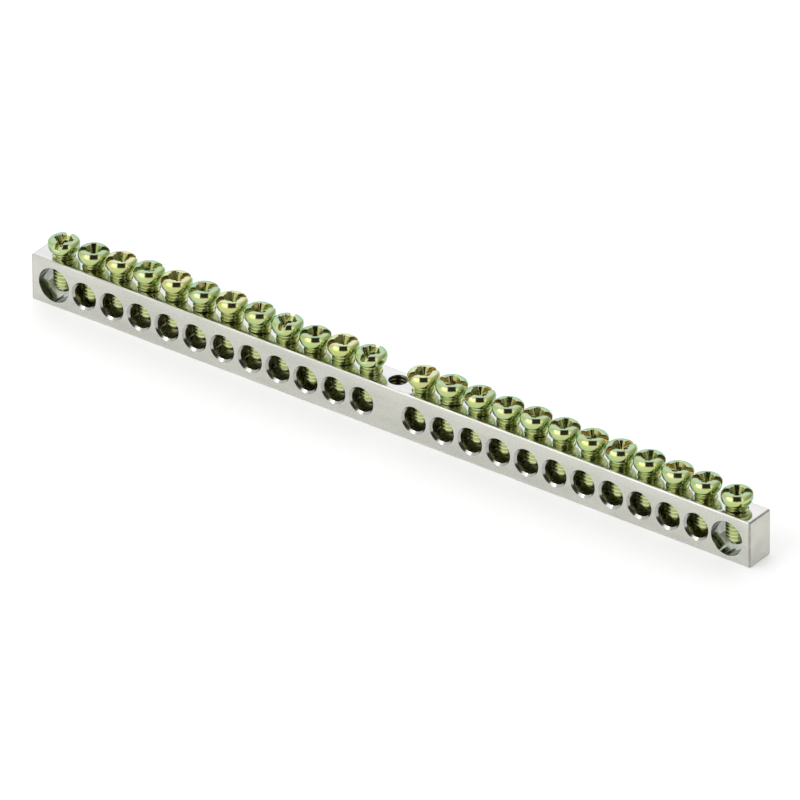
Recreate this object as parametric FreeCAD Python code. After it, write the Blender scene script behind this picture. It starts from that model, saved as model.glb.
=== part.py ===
import FreeCAD, Part
import os
from FreeCAD import Vector

# Earth busbar: a plated brass bar with cross-drilled wire holes, a clamp screw over each hole
# and one threaded fixing hole in the middle. Millimetres, +Z up. The origin is the middle of
# the bar's underside, on the axis of the fixing hole; X runs along the bar, -Y is the wire side.

# the bar
bar_length = 154.0
bar_depth = 6.0
bar_height = 9.0
bar_edge_bevel = 0.3

# the row of ways, spread evenly from the middle gap outwards, with a wider step to the last one
ways_per_side = 12
middle_gap = 11.25
end_pitch = 6.5
end_margin = 4.875
hole_axis_height = 4.3

# wire holes: small ones with a countersunk mouth and a wall between neighbours, a larger plain one
# at each end
hole_wall = 1.5
small_hole_chamfer = 0.4
end_hole_d = 6.6

# fixing hole in the middle, its plain wall at the pitch diameter of the M4 thread
fixing_hole_d = 3.55
fixing_hole_chamfer = 0.15

# clamp screws, M4, with the thread drawn at its outside diameter
thread_d = 4.0
thread_clearance = 0.05
tap_runout = 0.25
tip_gap = 0.2

# their heads, which narrow to the underside and round over to a flat top, with a slot and a cross
# recess in it
head_side_gap = 0.3
head_underside_d = 4.4
head_taper = 1.2
dome_height = 0.8
dome_flat_d = 4.8
slot_width = 1.1
slot_depth = 1.0
cross_width = 0.9
cross_span = 3.6
cross_foot_span = 2.0
cross_depth = 1.6

# how each screw was left: height of its head over the bar, the lift that each one has more or less
# than that, and the turn of its slot
head_gap = 1.5
screw_lift = [
    -0.15, 0.05, 0.45, 0.6, 0.75, 0.65, 0.75, 0.65, 0.5, 0.1, 0.5, 0.5,
    0.25, 0.5, 0.45, 0.35, 0.4, 0.3, 0.3, 0.3, 0.3, 0.2, 0.2, -0.1,
]
screw_turn = [
    105, 37, 52, 57, 52, 57, 52, 59, 103, 37, 52, 97,
    63, 15, 67, 25, 22, 25, 15, 67, 25, 15, 25, 37,
]

last_way = bar_length / 2 - end_margin
way_pitch = (last_way - end_pitch - middle_gap / 2) / (ways_per_side - 2)
small_hole_d = way_pitch - hole_wall
head_d = way_pitch - head_side_gap
head_height = head_taper + dome_height
tapped_hole_d = thread_d + 2 * thread_clearance
tapped_hole_floor = hole_axis_height - small_hole_d / 2 + tap_runout
head_underside = bar_height + head_gap
screw_length = head_underside - tapped_hole_floor - tip_gap


def way_positions():
    """X of every way, from the left end to the right end."""
    right = [middle_gap / 2 + i * way_pitch for i in range(ways_per_side - 1)]
    right.append(last_way)
    return [-x for x in reversed(right)] + right


def is_end_way(index):
    return index in (0, 2 * ways_per_side - 1)


def bevelled_bar():
    """The sawn bar blank with every edge broken."""
    blank = Part.makeBox(bar_length, bar_depth, bar_height, Vector(-bar_length / 2, -bar_depth / 2, 0))
    return blank.makeChamfer(bar_edge_bevel, blank.Edges)


def wire_hole(x, index):
    """Cutter for one cross-drilled wire hole; the small ones get a countersunk front mouth."""
    start = Vector(x, -bar_depth / 2, hole_axis_height)
    along = Vector(0, 1, 0)
    if is_end_way(index):
        return Part.makeCylinder(end_hole_d / 2, bar_depth, start, along)
    r = small_hole_d / 2
    bore = Part.makeCylinder(r, bar_depth, start, along)
    mouth = Part.makeCone(r + small_hole_chamfer, r, small_hole_chamfer, start, along)
    return bore.fuse(mouth)


def tapped_hole(x):
    """Cutter for the clamp screw's hole, from the top face through to the side walls of the wire hole."""
    return Part.makeCylinder(tapped_hole_d / 2, bar_height - tapped_hole_floor, Vector(x, 0, tapped_hole_floor))


def fixing_hole():
    """Cutter for the middle hole, right through, with both mouths eased."""
    r = fixing_hole_d / 2
    hole = Part.makeCylinder(r, bar_height)
    top = Part.makeCone(r, r + fixing_hole_chamfer, fixing_hole_chamfer, Vector(0, 0, bar_height - fixing_hole_chamfer))
    foot = Part.makeCone(r + fixing_hole_chamfer, r, fixing_hole_chamfer)
    return hole.fuse([top, foot])


def busbar():
    cutters = [fixing_hole()]
    for index, x in enumerate(way_positions()):
        cutters.append(wire_hole(x, index))
        cutters.append(tapped_hole(x))
    return bevelled_bar().cut(cutters)


def turned_blank():
    """Shank and head of a screw as one revolved profile, head underside at z = 0."""
    shank_r = thread_d / 2
    head_r = head_d / 2
    corners = [
        (0, -screw_length),
        (shank_r, -screw_length),
        (shank_r, 0),
        (head_underside_d / 2, 0),
        (head_r, head_taper),
        (dome_flat_d / 2, head_height),
        (0, head_height),
    ]
    points = [Vector(r, 0, z) for r, z in corners]
    profile = Part.Face(Part.makePolygon(points + points[:1]))
    return profile.revolve(Vector(), Vector(0, 0, 1), 360)


def cross_wing():
    """One tapered bar of the cross recess, along X."""
    top = cross_span / 2
    foot = cross_foot_span / 2
    low = head_height - cross_depth
    corners = [(-top, head_height), (-foot, low), (foot, low), (top, head_height)]
    points = [Vector(x, -cross_width / 2, z) for x, z in corners]
    profile = Part.Face(Part.makePolygon(points + points[:1]))
    return profile.extrude(Vector(0, cross_width, 0))


def recess():
    """Straight slot across the head along X, with a cross recess at its middle."""
    slot = Part.makeBox(head_d, slot_width, slot_depth, Vector(-head_d / 2, -slot_width / 2, head_height - slot_depth))
    along = cross_wing()
    across = cross_wing()
    across.rotate(Vector(), Vector(0, 0, 1), 90)
    return slot.fuse([along, across])


def terminal_screw():
    return turned_blank().cut(recess())


os.makedirs("parts", exist_ok=True)
busbar().exportStep("parts/busbar.step")

screw = terminal_screw()
for index, x in enumerate(way_positions()):
    placed = screw.copy()
    placed.rotate(Vector(), Vector(0, 0, 1), screw_turn[index])
    placed.translate(Vector(x, 0, head_underside + screw_lift[index]))
    placed.exportStep("parts/terminal_screw_%02d.step" % (index + 1))
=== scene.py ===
import bpy
import math
from mathutils import Matrix, Vector


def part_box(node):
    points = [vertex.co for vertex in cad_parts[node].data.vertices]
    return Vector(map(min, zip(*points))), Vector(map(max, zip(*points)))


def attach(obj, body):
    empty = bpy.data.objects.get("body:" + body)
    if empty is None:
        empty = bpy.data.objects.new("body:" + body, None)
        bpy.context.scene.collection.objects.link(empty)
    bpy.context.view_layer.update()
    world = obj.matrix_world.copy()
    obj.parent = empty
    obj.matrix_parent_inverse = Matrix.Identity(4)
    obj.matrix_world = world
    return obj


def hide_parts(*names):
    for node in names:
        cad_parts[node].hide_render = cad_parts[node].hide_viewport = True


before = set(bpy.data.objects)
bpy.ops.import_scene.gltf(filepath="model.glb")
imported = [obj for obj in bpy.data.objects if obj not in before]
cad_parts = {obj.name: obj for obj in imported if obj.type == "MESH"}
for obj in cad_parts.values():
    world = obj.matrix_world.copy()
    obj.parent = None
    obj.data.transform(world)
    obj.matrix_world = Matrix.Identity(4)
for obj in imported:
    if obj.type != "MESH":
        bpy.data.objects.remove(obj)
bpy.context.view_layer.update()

# The bar is one length of drawn brass, sawn off and edge-broken, cross-drilled and countersunk for
# the wires, tapped from the top for the clamp screws and once in the middle for fixing, then nickel
# plated all over. It is modelled as a bevelled block and cut with the shapes of the drills and taps.
MM = 0.001
bar_low, bar_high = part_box("busbar")
bar_depth = bar_high.y - bar_low.y
bar_top = bar_high.z
front_y = -bar_depth / 2
edge_bevel = 0.3 * MM
edge_segments = 3
hole_axis_height = 4.3 * MM
hole_sides = 96
small_hole_r = 2.25 * MM
small_hole_chamfer = 0.4 * MM
end_hole_r = 3.3 * MM
tapped_hole_r = 2.05 * MM
tapped_hole_floor = 2.3 * MM
fixing_thread_minor_r = 1.62 * MM
fixing_thread_major_r = 1.93 * MM
thread_pitch = 0.7 * MM
thread_steps = 48
drill_past = 1.0 * MM
mouth_past = 0.3 * MM
bar_smooth_angle = math.radians(35)
screw_nodes = sorted(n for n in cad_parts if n.startswith("terminal_screw"))
screw_places = []
for node in screw_nodes:
    low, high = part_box(node)
    screw_places.append(((low.x + high.x) / 2, high.z))
places_x = [x for x, top in screw_places]


def deselect():
    if bpy.context.object and bpy.context.object.mode != "OBJECT":
        bpy.ops.object.mode_set(mode="OBJECT")
    bpy.ops.object.select_all(action="DESELECT")


def pick(obj):
    deselect()
    obj.select_set(True)
    bpy.context.view_layer.objects.active = obj


def edit_where(obj, kind, test):
    """Go into edit mode on obj with just the vertices or faces selected that pass the test."""
    pick(obj)
    bpy.ops.object.mode_set(mode="EDIT")
    bpy.ops.mesh.select_mode(type=kind)
    bpy.ops.mesh.select_all(action="DESELECT")
    bpy.ops.object.mode_set(mode="OBJECT")
    parts = obj.data.vertices if kind == "VERT" else obj.data.polygons
    for part in parts:
        part.select = test(part)
    bpy.ops.object.mode_set(mode="EDIT")


deselect()
bpy.ops.mesh.primitive_cube_add(size=1, location=(bar_low + bar_high) / 2)
bar = bpy.context.object
bar.name = "plated_bar"
bar.scale = bar_high - bar_low
bpy.ops.object.transform_apply(location=True, scale=True)
edit_where(bar, "VERT", lambda v: True)
bpy.ops.mesh.bevel(offset=edge_bevel, segments=edge_segments, affect="EDGES")
deselect()


def boolean(obj, cutter, operation):
    """Apply a boolean with the cutter and throw the cutter away."""
    pick(obj)
    modifier = obj.modifiers.new("cut", "BOOLEAN")
    modifier.operation = operation
    modifier.object = cutter
    modifier.solver = "EXACT"
    bpy.ops.object.modifier_apply(modifier="cut")
    bpy.data.objects.remove(cutter)


def joined_copies(original, offsets):
    """One object out of copies of the original, moved in X by the offsets."""
    copies = []
    for x in offsets:
        pick(original)
        bpy.ops.object.duplicate()
        bpy.ops.transform.translate(value=(x, 0, 0))
        bpy.ops.object.transform_apply(location=True)
        copies.append(bpy.context.object)
    bpy.data.objects.remove(original)
    deselect()
    for copy in copies:
        copy.select_set(True)
    bpy.context.view_layer.objects.active = copies[0]
    bpy.ops.object.join()
    return bpy.context.object


def cross_drill(radius, chamfer, offsets):
    """The space left by drilling through the bar along Y and countersinking the front mouth."""
    deselect()
    start = front_y + chamfer
    depth = bar_depth / 2 + drill_past - start
    bpy.ops.mesh.primitive_cylinder_add(
        vertices=hole_sides, radius=radius, depth=depth, rotation=(math.pi / 2, 0, 0),
        location=(0, start + depth / 2, hole_axis_height))
    drill = bpy.context.object
    bpy.ops.object.transform_apply(location=True, rotation=True)
    edit_where(drill, "FACE", lambda f: f.normal.y < -0.9)
    bpy.ops.mesh.extrude_region_move(TRANSFORM_OT_translate={"value": (0, -chamfer - mouth_past, 0)})
    bpy.ops.transform.resize(value=((radius + chamfer + mouth_past) / radius,) * 3)
    deselect()
    return joined_copies(drill, offsets)


boolean(bar, cross_drill(small_hole_r, small_hole_chamfer, places_x[1:-1]), "DIFFERENCE")
boolean(bar, cross_drill(end_hole_r, 0, [places_x[0], places_x[-1]]), "DIFFERENCE")

deselect()
tap_length = bar_top + drill_past - tapped_hole_floor
bpy.ops.mesh.primitive_cylinder_add(
    vertices=hole_sides, radius=tapped_hole_r, depth=tap_length,
    location=(0, 0, tapped_hole_floor + tap_length / 2))
bpy.ops.object.transform_apply(location=True)
boolean(bar, joined_copies(bpy.context.object, places_x), "DIFFERENCE")


def threaded_rod(minor_r, major_r, low, high):
    """A right-hand thread that covers the stretch between two heights, closed at both ends."""
    lead_in_turns = 1.5
    turns = math.ceil((high - low) / thread_pitch) + math.ceil(2 * lead_in_turns)
    deselect()
    bpy.ops.mesh.primitive_grid_add(x_subdivisions=1, y_subdivisions=4, size=1)
    rod = bpy.context.object
    edit_where(rod, "VERT", lambda v: v.co.x < 0)
    bpy.ops.mesh.delete(type="VERT")
    deselect()
    one_turn = [(minor_r, 0), (minor_r, 0.25), (major_r, 0.56), (major_r, 0.69), (minor_r, 1.0)]
    for v, (r, along) in zip(sorted(rod.data.vertices, key=lambda v: v.co.y), one_turn):
        v.co = (r, 0, low + (along - lead_in_turns) * thread_pitch)
    pick(rod)
    helix = rod.modifiers.new("helix", "SCREW")
    helix.axis = "Z"
    helix.steps = thread_steps
    helix.render_steps = thread_steps
    helix.screw_offset = thread_pitch
    helix.iterations = turns
    bpy.ops.object.modifier_apply(modifier="helix")
    edit_where(rod, "VERT", lambda v: True)
    bpy.ops.mesh.remove_doubles(threshold=1e-6)
    bpy.ops.mesh.select_all(action="DESELECT")
    bpy.ops.mesh.select_non_manifold()
    bpy.ops.mesh.fill()
    bpy.ops.mesh.select_all(action="SELECT")
    bpy.ops.mesh.normals_make_consistent(inside=False)
    deselect()
    return rod


fixing_tap = threaded_rod(fixing_thread_minor_r, fixing_thread_major_r, -drill_past, bar_top + drill_past)
boolean(bar, fixing_tap, "DIFFERENCE")
pick(bar)
bpy.ops.object.shade_smooth_by_angle(angle=bar_smooth_angle)


def map_range(tree, value, start, end, low, high, interpolation="LINEAR"):
    """Map a socket's value from one range to another."""
    node = tree.nodes.new("ShaderNodeMapRange")
    node.interpolation_type = interpolation
    for name, number in (("From Min", start), ("From Max", end), ("To Min", low), ("To Max", high)):
        node.inputs[name].default_value = number
    tree.links.new(value, node.inputs["Value"])
    return node.outputs["Result"]


def metal(name, colour, patch_colour, edge_colour, roughness, patch_size, grain_size, grain_height, stretch):
    """A plated metal: patches of a second tone, grain in its gloss and surface, drawn out by the stretch."""
    material = bpy.data.materials.new(name)
    material.use_nodes = True
    tree = material.node_tree
    nodes, links = tree.nodes, tree.links
    shader = nodes["Principled BSDF"]
    shader.inputs["Metallic"].default_value = 1.0
    shader.inputs["Specular Tint"].default_value = (*edge_colour, 1)
    place = nodes.new("ShaderNodeTexCoord")
    drawn = nodes.new("ShaderNodeMapping")
    drawn.inputs["Scale"].default_value = stretch
    links.new(place.outputs["Object"], drawn.inputs["Vector"])

    def noise(size, detail):
        texture = nodes.new("ShaderNodeTexNoise")
        texture.inputs["Scale"].default_value = 1 / size
        texture.inputs["Detail"].default_value = detail
        links.new(drawn.outputs["Vector"], texture.inputs["Vector"])
        return texture.outputs["Fac"]

    patch_share = map_range(tree, noise(patch_size, 3), 0.38, 0.66, 0, 1, "SMOOTHSTEP")
    tone = nodes.new("ShaderNodeMix")
    tone.data_type = "RGBA"
    tone.inputs["A"].default_value = (*colour, 1)
    tone.inputs["B"].default_value = (*patch_colour, 1)
    links.new(patch_share, tone.inputs["Factor"])
    links.new(tone.outputs["Result"], shader.inputs["Base Color"])
    grain = noise(grain_size, 2)
    gloss = map_range(tree, grain, 0.3, 0.7, roughness * 0.75, roughness * 1.25)
    links.new(gloss, shader.inputs["Roughness"])
    bump = nodes.new("ShaderNodeBump")
    bump.inputs["Distance"].default_value = grain_height
    links.new(grain, bump.inputs["Height"])
    links.new(bump.outputs["Normal"], shader.inputs["Normal"])
    return material


bar_metals = [
    metal("satin_nickel", (0.60, 0.60, 0.54), (0.55, 0.55, 0.50),
          edge_colour=(0.95, 0.95, 0.95), roughness=0.25, patch_size=3 * MM,
          grain_size=0.12 * MM, grain_height=0.0015 * MM, stretch=(0.25, 1, 1)),
    # The top's lighter tone is painted light, over its glossier finish.
    metal("bright_nickel_painted_light", (0.72, 0.72, 0.715), (0.66, 0.655, 0.645),
          edge_colour=(0.98, 0.98, 1.0), roughness=0.11, patch_size=4 * MM,
          grain_size=0.15 * MM, grain_height=0.0005 * MM, stretch=(0.2, 1, 1)),
    # Darker tone inside the end bores: painted shade.
    metal("drilled_nickel_painted_shade", (0.44, 0.45, 0.42), (0.36, 0.38, 0.34),
          edge_colour=(0.9, 0.93, 0.92), roughness=0.1, patch_size=1.2 * MM,
          grain_size=0.3 * MM, grain_height=0.0015 * MM, stretch=(0.6, 1.6, 0.6)),
    metal("worn_edge_nickel", (0.58, 0.57, 0.53), (0.70, 0.69, 0.66),
          edge_colour=(0.95, 0.95, 0.95), roughness=0.3, patch_size=2 * MM,
          grain_size=0.1 * MM, grain_height=0.002 * MM, stretch=(0.3, 1, 1)),
    # Dark tone on the broken edges at the ends: painted shade, partly the sawn edge.
    metal("sawn_edge_nickel_painted_shade", (0.36, 0.35, 0.31), (0.44, 0.43, 0.39),
          edge_colour=(0.8, 0.8, 0.8), roughness=0.4, patch_size=1 * MM,
          grain_size=0.1 * MM, grain_height=0.004 * MM, stretch=(1, 1, 0.5)),
    # Very dark tone inside the small holes: painted shade, partly the thinner plating there.
    metal("thin_nickel_painted_shade", (0.20, 0.22, 0.15), (0.30, 0.26, 0.14),
          edge_colour=(0.6, 0.65, 0.5), roughness=0.26, patch_size=1.2 * MM,
          grain_size=0.3 * MM, grain_height=0.0015 * MM, stretch=(0.6, 1.6, 0.6)),
    # Darker tone on the countersinks dims the softbox's reflection there: painted shade.
    metal("countersunk_nickel_painted_shade", (0.52, 0.52, 0.49), (0.44, 0.44, 0.41),
          edge_colour=(0.9, 0.93, 0.92), roughness=0.2, patch_size=1.2 * MM,
          grain_size=0.2 * MM, grain_height=0.003 * MM, stretch=(1, 1, 1)),
]
for material in bar_metals:
    bar.data.materials.append(material)
near = 0.02 * MM
end_holes_from = places_x[-2] + tapped_hole_r * 1.2


def bar_finish(face):
    """Name the finish of a face: broken edges, darker at the ends as painted shade, insides and countersinks
    of the holes darker as painted shade, the top lighter as painted light, or the satin sides.
    """
    c = face.center
    past_faces = [abs(c.x) - bar_high.x, abs(c.y) - bar_high.y, max(bar_low.z - c.z, c.z - bar_top)]
    at_ends, at_sides, at_top_or_foot = [past > -edge_bevel for past in past_faces]
    if at_ends and (at_sides or at_top_or_foot):
        return "sawn_edge_nickel_painted_shade"
    if at_sides and at_top_or_foot:
        return "worn_edge_nickel"
    if max(past_faces) <= -near:
        if abs(c.x) > end_holes_from:
            return "drilled_nickel_painted_shade"
        if c.y < front_y + small_hole_chamfer:
            return "countersunk_nickel_painted_shade"
        return "thin_nickel_painted_shade"
    if face.normal.z > 0.9:
        return "bright_nickel_painted_light"
    return "satin_nickel"


for face in bar.data.polygons:
    face.material_index = bar.data.materials.find(bar_finish(face))
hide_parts("busbar")
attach(bar, "bar")

# The clamp screws are short M4 machine screws, cold-headed and thread-rolled from steel, zinc plated and
# passivated to a yellow-green sheen. The head rounds over to a flat top, with a slot, a cross recess and a
# pit, and narrows to its underside. Each was left partly turned in, so its thread shows below the head.
head_r = 2.84 * MM
head_height = 2.0 * MM
head_sides = 96
widest_height = 1.3 * MM
rim_height = head_height - widest_height
rim_power = 1.5
rim_steps = 14
underside_r = 2.2 * MM
underside_drop = 0.25 * MM
side_steps = 10
top_flat_r = 2.1 * MM
top_crown = 0.03 * MM
screw_length = 8.0 * MM
thread_minor_r = 1.55 * MM
thread_major_r = 1.98 * MM
tip_r = 1.2 * MM
tip_taper = 1.2 * MM
slot_length = head_r * 2.2
slot_width = 1.3 * MM
slot_foot_width = slot_width * 0.85
slot_depth = 1.0 * MM
cross_width = 1.0 * MM
cross_span = 3.5 * MM
cross_foot_width = 0.5 * MM
cross_foot_span = 2.0 * MM
cross_depth = 1.6 * MM
pit_r = 1.5 * MM
pit_floor_r = 0.5 * MM
pit_depth = 1.65 * MM
pit_sides = 48
screw_smooth_angle = math.radians(32)
screw_turns = [
    105, 37, 52, 57, 52, 57, 52, 59, 103, 37, 52, 97,
    63, 15, 67, 25, 22, 25, 15, 67, 25, 15, 25, 37,
]


def lathe(outline, steps):
    """Spin an outline of radii and heights, from the foot of the axis to its top, into a closed body."""
    deselect()
    bpy.ops.mesh.primitive_grid_add(x_subdivisions=1, y_subdivisions=len(outline) - 1, size=1)
    turned = bpy.context.object
    edit_where(turned, "VERT", lambda v: v.co.x < 0)
    bpy.ops.mesh.delete(type="VERT")
    deselect()
    for v, (r, z) in zip(sorted(turned.data.vertices, key=lambda v: v.co.y), outline):
        v.co = (r, 0, z)
    edit_where(turned, "VERT", lambda v: True)
    bpy.ops.mesh.spin(steps=steps, angle=2 * math.pi, center=(0, 0, 0), axis=(0, 0, 1))
    bpy.ops.mesh.select_all(action="SELECT")
    bpy.ops.mesh.remove_doubles(threshold=1e-7)
    bpy.ops.mesh.normals_make_consistent(inside=False)
    deselect()
    return turned


head_outline = [(0, -underside_drop)]
for i in range(side_steps + 1):
    t = math.pi / 2 * (1 - i / side_steps)
    head_outline.append((underside_r + (head_r - underside_r) * math.cos(t),
                         widest_height - (widest_height + underside_drop) * math.sin(t)))
for i in range(1, rim_steps + 1):
    t = math.pi / 2 * (1 - i / rim_steps)
    head_outline.append((top_flat_r + (head_r - top_flat_r) * math.sin(t) ** (2 / rim_power),
                         widest_height + rim_height * max(0.0, math.cos(t)) ** (2 / rim_power)))
head_outline.append((0, head_height + top_crown))
head = lathe(head_outline, head_sides)


def lay_over(material, share, colour):
    """Cover a share of the metal's own tones by another colour."""
    nodes, links = material.node_tree.nodes, material.node_tree.links
    tones = nodes["Principled BSDF"].inputs["Base Color"]
    cover = nodes.new("ShaderNodeMix")
    cover.data_type = "RGBA"
    cover.inputs["B"].default_value = (*colour, 1)
    links.new(share, cover.inputs["Factor"])
    links.new(tones.links[0].from_socket, cover.inputs["A"])
    links.new(cover.outputs["Result"], tones)


def wear_and_highlight_edges(material, reach, wear_and_highlight_colour):
    """Round the edges of a metal's surface over a short reach and give them a paler tone, partly wear and
    partly a painted highlight.
    """
    nodes, links = material.node_tree.nodes, material.node_tree.links
    rounded = nodes.new("ShaderNodeBevel")
    rounded.samples = 4
    rounded.inputs["Radius"].default_value = reach
    links.new(rounded.outputs["Normal"], nodes["Bump"].inputs["Normal"])
    surface = nodes.new("ShaderNodeNewGeometry")
    turned = nodes.new("ShaderNodeVectorMath")
    turned.operation = "DOT_PRODUCT"
    links.new(rounded.outputs["Normal"], turned.inputs[0])
    links.new(surface.outputs["Normal"], turned.inputs[1])
    lay_over(material, map_range(material.node_tree, turned.outputs["Value"], 0.99, 0.88, 0, 1), wear_and_highlight_colour)


def lay_marked_colour(material, rubbed_and_painted_light_colour):
    """Lay a colour over the metal as far as the mesh is marked: worn by drivers on the head's top, painted
    light on the lower thread.
    """
    rubbed_and_painted_light = material.node_tree.nodes.new("ShaderNodeAttribute")
    rubbed_and_painted_light.attribute_name = "rubbed_and_painted_light"
    lay_over(material, rubbed_and_painted_light.outputs["Fac"], rubbed_and_painted_light_colour)


def filmed_zinc(name, colour, patch_colour, film_colour, rubbed_and_painted_light_colour):
    """Polished zinc, worn pale on top by drivers, edges paler as wear and painted highlight, under a film
    that colours it more at a flat angle.
    """
    material = metal(name, colour, patch_colour, edge_colour=(0.6, 0.72, 0.66), roughness=0.1,
                     patch_size=2.2 * MM, grain_size=0.2 * MM, grain_height=0.0004 * MM, stretch=(1, 1, 1))
    lay_marked_colour(material, rubbed_and_painted_light_colour)
    # Near-white edges: painted highlight, partly wear.
    wear_and_highlight_edges(material, 0.28 * MM, (0.98, 0.96, 0.78))
    shader = material.node_tree.nodes["Principled BSDF"]
    shader.inputs["Coat Weight"].default_value = 1.0
    shader.inputs["Coat Roughness"].default_value = 0.06
    shader.inputs["Coat IOR"].default_value = 1.06
    shader.inputs["Coat Tint"].default_value = (*film_colour, 1)
    return material


def struck_zinc_painted_shade(name, colour, patch_colour):
    """The duller zinc of the recess, as the punch left it, toned darker as painted shade, with its edges
    paler from wear and painted highlight.
    """
    material = metal(name, colour, patch_colour, edge_colour=(0.8, 0.9, 0.6), roughness=0.14,
                     patch_size=1.2 * MM, grain_size=0.15 * MM, grain_height=0.0007 * MM, stretch=(1, 1, 1))
    wear_and_highlight_edges(material, 0.14 * MM, (0.90, 0.90, 0.58))
    return material


green_zinc = filmed_zinc("green_zinc", (0.82, 0.69, 0.22), (0.85, 0.70, 0.30),
                         film_colour=(0.70, 0.91, 1.0), rubbed_and_painted_light_colour=(0.78, 0.64, 0.33))
golden_zinc = filmed_zinc("golden_zinc", (0.65, 0.65, 0.21), (0.67, 0.63, 0.27),
                          film_colour=(0.90, 0.96, 1.0), rubbed_and_painted_light_colour=(0.78, 0.73, 0.40))
# The recess tones are darker than the head's: painted shade in the recess, on the duller struck zinc.
green_recess = struck_zinc_painted_shade("green_recess", (0.50, 0.56, 0.26), (0.52, 0.50, 0.22))
golden_recess = struck_zinc_painted_shade("golden_recess", (0.52, 0.49, 0.23), (0.56, 0.43, 0.18))
thread_zinc = metal("thread_zinc", (0.57, 0.63, 0.33), (0.50, 0.52, 0.24), edge_colour=(0.85, 0.95, 0.8),
                    roughness=0.2, patch_size=1.5 * MM, grain_size=0.15 * MM, grain_height=0.002 * MM,
                    stretch=(1, 1, 0.4))
# The lower thread gets a paler tone: painted light in the holes.
lay_marked_colour(thread_zinc, (0.68, 0.73, 0.46))
# Near-black pit: painted shade at the bottom of the recess.
pit_zinc_painted_shade = struck_zinc_painted_shade("pit_zinc_painted_shade", (0.23, 0.29, 0.09), (0.32, 0.26, 0.09))
head_slot, recess_slot, thread_slot, pit_slot = range(4)
for material in (green_zinc, green_recess, thread_zinc, pit_zinc_painted_shade):
    head.data.materials.append(material)

punch_past = 0.5 * MM


def tapered_punch(span, foot_span, width, foot_width, depth, turn):
    """A block that narrows downwards from above the head, to strike the slot or one bar of the cross."""
    deselect()
    grow = 1 + punch_past / depth
    top_span = foot_span + (span - foot_span) * grow
    top_width = foot_width + (width - foot_width) * grow
    bpy.ops.mesh.primitive_cube_add(size=1, location=(0, 0, head_height - depth + depth * grow / 2))
    punch = bpy.context.object
    punch.scale = (top_span, top_width, depth * grow)
    bpy.ops.object.transform_apply(location=True, scale=True)
    edit_where(punch, "FACE", lambda f: f.normal.z < -0.9)
    bpy.ops.transform.resize(value=(foot_span / top_span, foot_width / top_width, 1))
    deselect()
    punch.data.transform(Matrix.Rotation(math.radians(turn), 4, "Z"))
    return punch


slot_punch = tapered_punch(slot_length, slot_length, slot_width, slot_foot_width, slot_depth, 0)
boolean(head, slot_punch, "DIFFERENCE")
for turn in (0, 90):
    arm = tapered_punch(cross_span, cross_foot_span, cross_width, cross_foot_width, cross_depth, turn)
    boolean(head, arm, "DIFFERENCE")
deselect()
pit_grow = 1 + punch_past / pit_depth
bpy.ops.mesh.primitive_cone_add(
    vertices=pit_sides, radius1=pit_floor_r, radius2=pit_floor_r + (pit_r - pit_floor_r) * pit_grow,
    depth=pit_depth * pit_grow, location=(0, 0, head_height - pit_depth + pit_depth * pit_grow / 2))
bpy.ops.object.transform_apply(location=True)
boolean(head, bpy.context.object, "DIFFERENCE")

recess_margin = 0.1 * MM
# Faces inside the recess take the darker recess and pit metals: painted shade.
for face in head.data.polygons:
    c = face.center
    r = math.hypot(c.x, c.y)
    over_rim = max(r - top_flat_r, 0) / (head_r - top_flat_r)
    rim_z = widest_height + rim_height * max(0.0, 1 - over_rim ** rim_power) ** (1 / rim_power)
    is_inside = r < head_r - recess_margin and head_height - pit_depth - near < c.z < rim_z - recess_margin
    faces_in = face.normal.dot(Vector((c.x, c.y, 0))) < 0.5 * r
    if is_inside and faces_in:
        in_pit = r < pit_r * 1.02 or abs(c.x) < cross_width * 0.6
        face.material_index = pit_slot if in_pit else recess_slot

shank_top = 0.3 * MM
shank = threaded_rod(thread_minor_r, thread_major_r, -screw_length, shank_top)
envelope_r = thread_major_r * 1.01
envelope = lathe([(0, -screw_length), (tip_r, -screw_length), (envelope_r, -screw_length + tip_taper),
                  (envelope_r, shank_top), (0, shank_top)], head_sides)
boolean(shank, envelope, "INTERSECT")
boolean(head, shank, "UNION")
pick(head)
bpy.ops.object.shade_smooth_by_angle(angle=screw_smooth_angle)
for face in head.data.polygons:
    if face.center.z < near - underside_drop:
        face.material_index = thread_slot

# Down in the holes the thread is marked for a paler tone: painted light. The head's top is marked as worn by
# drivers.
painted_light_thread_start = -3.4 * MM
painted_light_thread_reach = 2.5 * MM
rubbed_and_painted_light = head.data.attributes.new("rubbed_and_painted_light", "FLOAT", "POINT")
for v in head.data.vertices:
    on_top = min(1.0, max(0.0, (v.co.z - widest_height) / rim_height)) ** 3
    painted_light_in_thread = min(1.0, max(0.0, (painted_light_thread_start - v.co.z) / painted_light_thread_reach))
    rubbed_and_painted_light.data[v.index].value = max(on_top, painted_light_in_thread)

golden_screws = {3, 5, 7, 11, 13}
brown_recesses = golden_screws | set(range(14, 24))
for number, (node, (x, top), turn) in enumerate(zip(screw_nodes, screw_places, screw_turns), 1):
    mesh = head.data.copy()
    screw = bpy.data.objects.new("clamp_screw_%02d" % number, mesh)
    bpy.context.collection.objects.link(screw)
    turned = Matrix.Rotation(math.radians(turn), 4, "Z")
    mesh.transform(Matrix.Translation((x, 0, top - head_height)) @ turned)
    if number in golden_screws:
        mesh.materials[head_slot] = golden_zinc
    if number in brown_recesses:
        mesh.materials[recess_slot] = golden_recess
    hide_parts(node)
    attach(screw, "screw_%02d" % number)
bpy.data.objects.remove(head)

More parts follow.
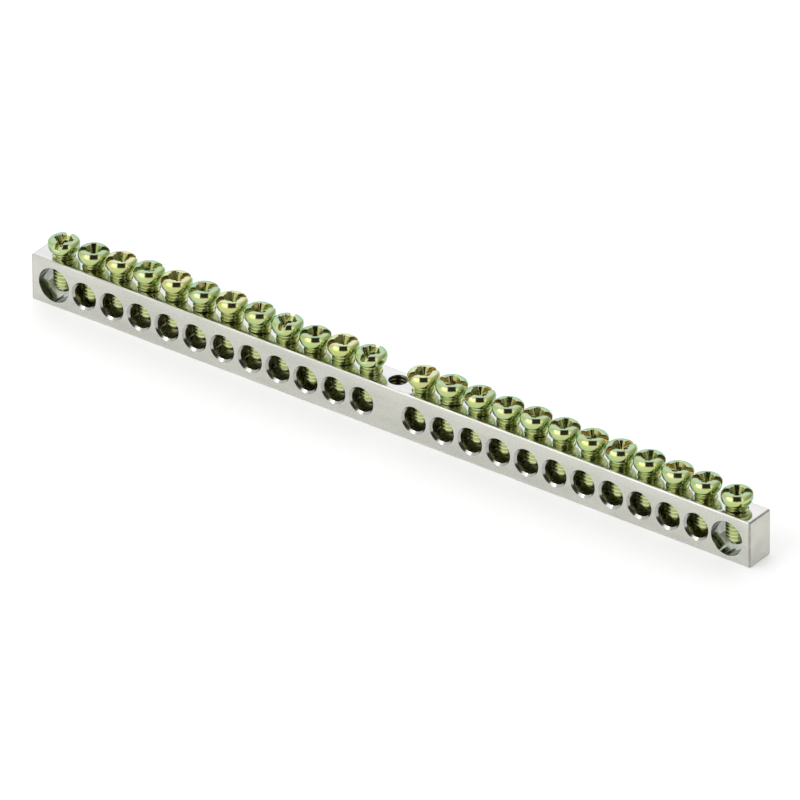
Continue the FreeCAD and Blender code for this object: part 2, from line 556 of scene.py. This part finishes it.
# The floor is a plain white table top. A faint glow of its own, for the camera and in mirror images, keeps
# it white around the part.
floor_size = 4.0
floor_drop = 0.02 * MM
floor_lift = 0.39
deselect()
bpy.ops.mesh.primitive_plane_add(size=floor_size, location=(0, 0, -floor_drop))
floor = bpy.context.object
floor.name = "floor"
table_white = bpy.data.materials.new("table_white")
table_white.use_nodes = True
table_tree = table_white.node_tree


def worked_out(tree, operation, *terms):
    """The result of a sum on sockets and plain numbers."""
    node = tree.nodes.new("ShaderNodeMath")
    node.operation = operation
    for socket, term in zip(node.inputs, terms):
        if isinstance(term, float):
            socket.default_value = term
        else:
            tree.links.new(term, socket)
    return node.outputs["Value"]


shader = table_tree.nodes["Principled BSDF"]
shader.inputs["Base Color"].default_value = (0.9, 0.9, 0.9, 1)
shader.inputs["Roughness"].default_value = 0.6
shader.inputs["Emission Color"].default_value = (1, 1, 1, 1)
path = table_tree.nodes.new("ShaderNodeLightPath")
seen = worked_out(table_tree, "MAXIMUM", path.outputs["Is Camera Ray"], path.outputs["Is Glossy Ray"])
lift = worked_out(table_tree, "MULTIPLY", seen, floor_lift)
table_tree.links.new(lift, shader.inputs["Emission Strength"])
floor.data.materials.append(table_white)

# The light is a white tent round the table, dimmer on the right, with one softbox at the upper left. The
# tent is open where the camera stands, and its opening narrows upwards and ends just past overhead.
view_azimuth = math.radians(36.9071)
view_elevation = math.radians(30.7238)
front_way = Vector((math.sin(view_azimuth), -math.cos(view_azimuth), 0))
right_way = Vector((math.cos(view_azimuth), math.sin(view_azimuth), 0))
view_back = Vector((math.sin(view_azimuth) * math.cos(view_elevation),
                    -math.cos(view_azimuth) * math.cos(view_elevation), math.sin(view_elevation)))
opening_flare = 0.25
opening_dark = 0.02
softbox_way = Vector((-0.45, -0.52, 0.72)).normalized()
softbox_distance = 0.8
softbox_size = 0.12
softbox_watts = 0.3

tent = bpy.data.worlds.new("white_tent")
bpy.context.scene.world = tent
tent.use_nodes = True
tent_tree = tent.node_tree
direction = tent_tree.nodes.new("ShaderNodeTexCoord")


def part_along(way):
    """How far the direction looked in goes along a given way."""
    part = tent_tree.nodes.new("ShaderNodeVectorMath")
    part.operation = "DOT_PRODUCT"
    part.inputs[1].default_value = way
    tent_tree.links.new(direction.outputs["Generated"], part.inputs[0])
    return part.outputs["Value"]


def eased(value, start, end, low, high):
    """A soft step of the tent's brightness from one strength to another."""
    return map_range(tent_tree, value, start, end, low, high, "SMOOTHSTEP")


def within(way, outer_angle, inner_angle, low, high):
    """A soft step from one strength outside a cone round a way to another at its middle."""
    outer, inner = math.cos(math.radians(outer_angle)), math.cos(math.radians(inner_angle))
    return eased(part_along(way), outer, inner, low, high)


forward = part_along(front_way)
sideways = worked_out(tent_tree, "ABSOLUTE", part_along(right_way))
half_width = worked_out(tent_tree, "MULTIPLY", forward, opening_flare)
beside = eased(worked_out(tent_tree, "SUBTRACT", sideways, half_width), 0.23, 0.31, 0.0, 1.0)
behind = eased(forward, -0.52, -0.42, 1.0, 0.0)
opening = eased(worked_out(tent_tree, "MAXIMUM", beside, behind), 0.0, 1.0, opening_dark, 1.0)
glow = within((view_back - right_way * 0.3).normalized(), 70, 30, 0.85, 1.8)
backdrop = within(Vector((-view_back.x, -view_back.y, view_back.z)), 55, 15, 0.0, 0.35)
right_side = eased(part_along(right_way), 0.45, 0.85, 1.0, 0.5)
wall = worked_out(tent_tree, "MULTIPLY", right_side, worked_out(tent_tree, "ADD", glow, backdrop))
background = tent_tree.nodes["Background"]
background.inputs["Color"].default_value = (1, 1, 1, 1)
tent_tree.links.new(worked_out(tent_tree, "MULTIPLY", opening, wall), background.inputs["Strength"])

deselect()
bpy.ops.object.light_add(type="AREA", location=softbox_way * softbox_distance)
softbox = bpy.context.object
softbox.name = "softbox"
softbox.data.shape = "RECTANGLE"
softbox.data.size = softbox_size
softbox.data.size_y = softbox_size
softbox.data.energy = softbox_watts
softbox.rotation_euler = softbox_way.to_track_quat("Z", "Y").to_euler()

# The camera stands far off with a long lens. Its aim puts a point over the bar's middle at a given place in
# the picture, and its lens gives the scale there.
camera_distance = 4.0
camera_roll = math.radians(-0.4029)
sensor_width = 36
picture_px = 800
px_per_metre = 5815.2
middle = Vector((0, 0, 6 * MM))
middle_px_x = 397.5529
middle_px_y = 395.0737
camera_data = bpy.data.cameras.new("camera")
camera_data.sensor_width = sensor_width
camera_data.lens = px_per_metre * camera_distance * sensor_width / picture_px
camera_data.clip_start = 0.1
camera_data.clip_end = 20
camera = bpy.data.objects.new("camera", camera_data)
bpy.context.collection.objects.link(camera)
camera_turn = (-view_back).to_track_quat("-Z", "Y").to_matrix() @ Matrix.Rotation(camera_roll, 3, "Z")
right = camera_turn @ Vector((1, 0, 0))
up = camera_turn @ Vector((0, 1, 0))
aim = middle + (right * (picture_px / 2 - middle_px_x) + up * (middle_px_y - picture_px / 2)) / px_per_metre
camera.location = aim + view_back * camera_distance
camera.rotation_euler = camera_turn.to_euler()
bpy.context.scene.camera = camera
bpy.context.scene.view_settings.view_transform = "Standard"
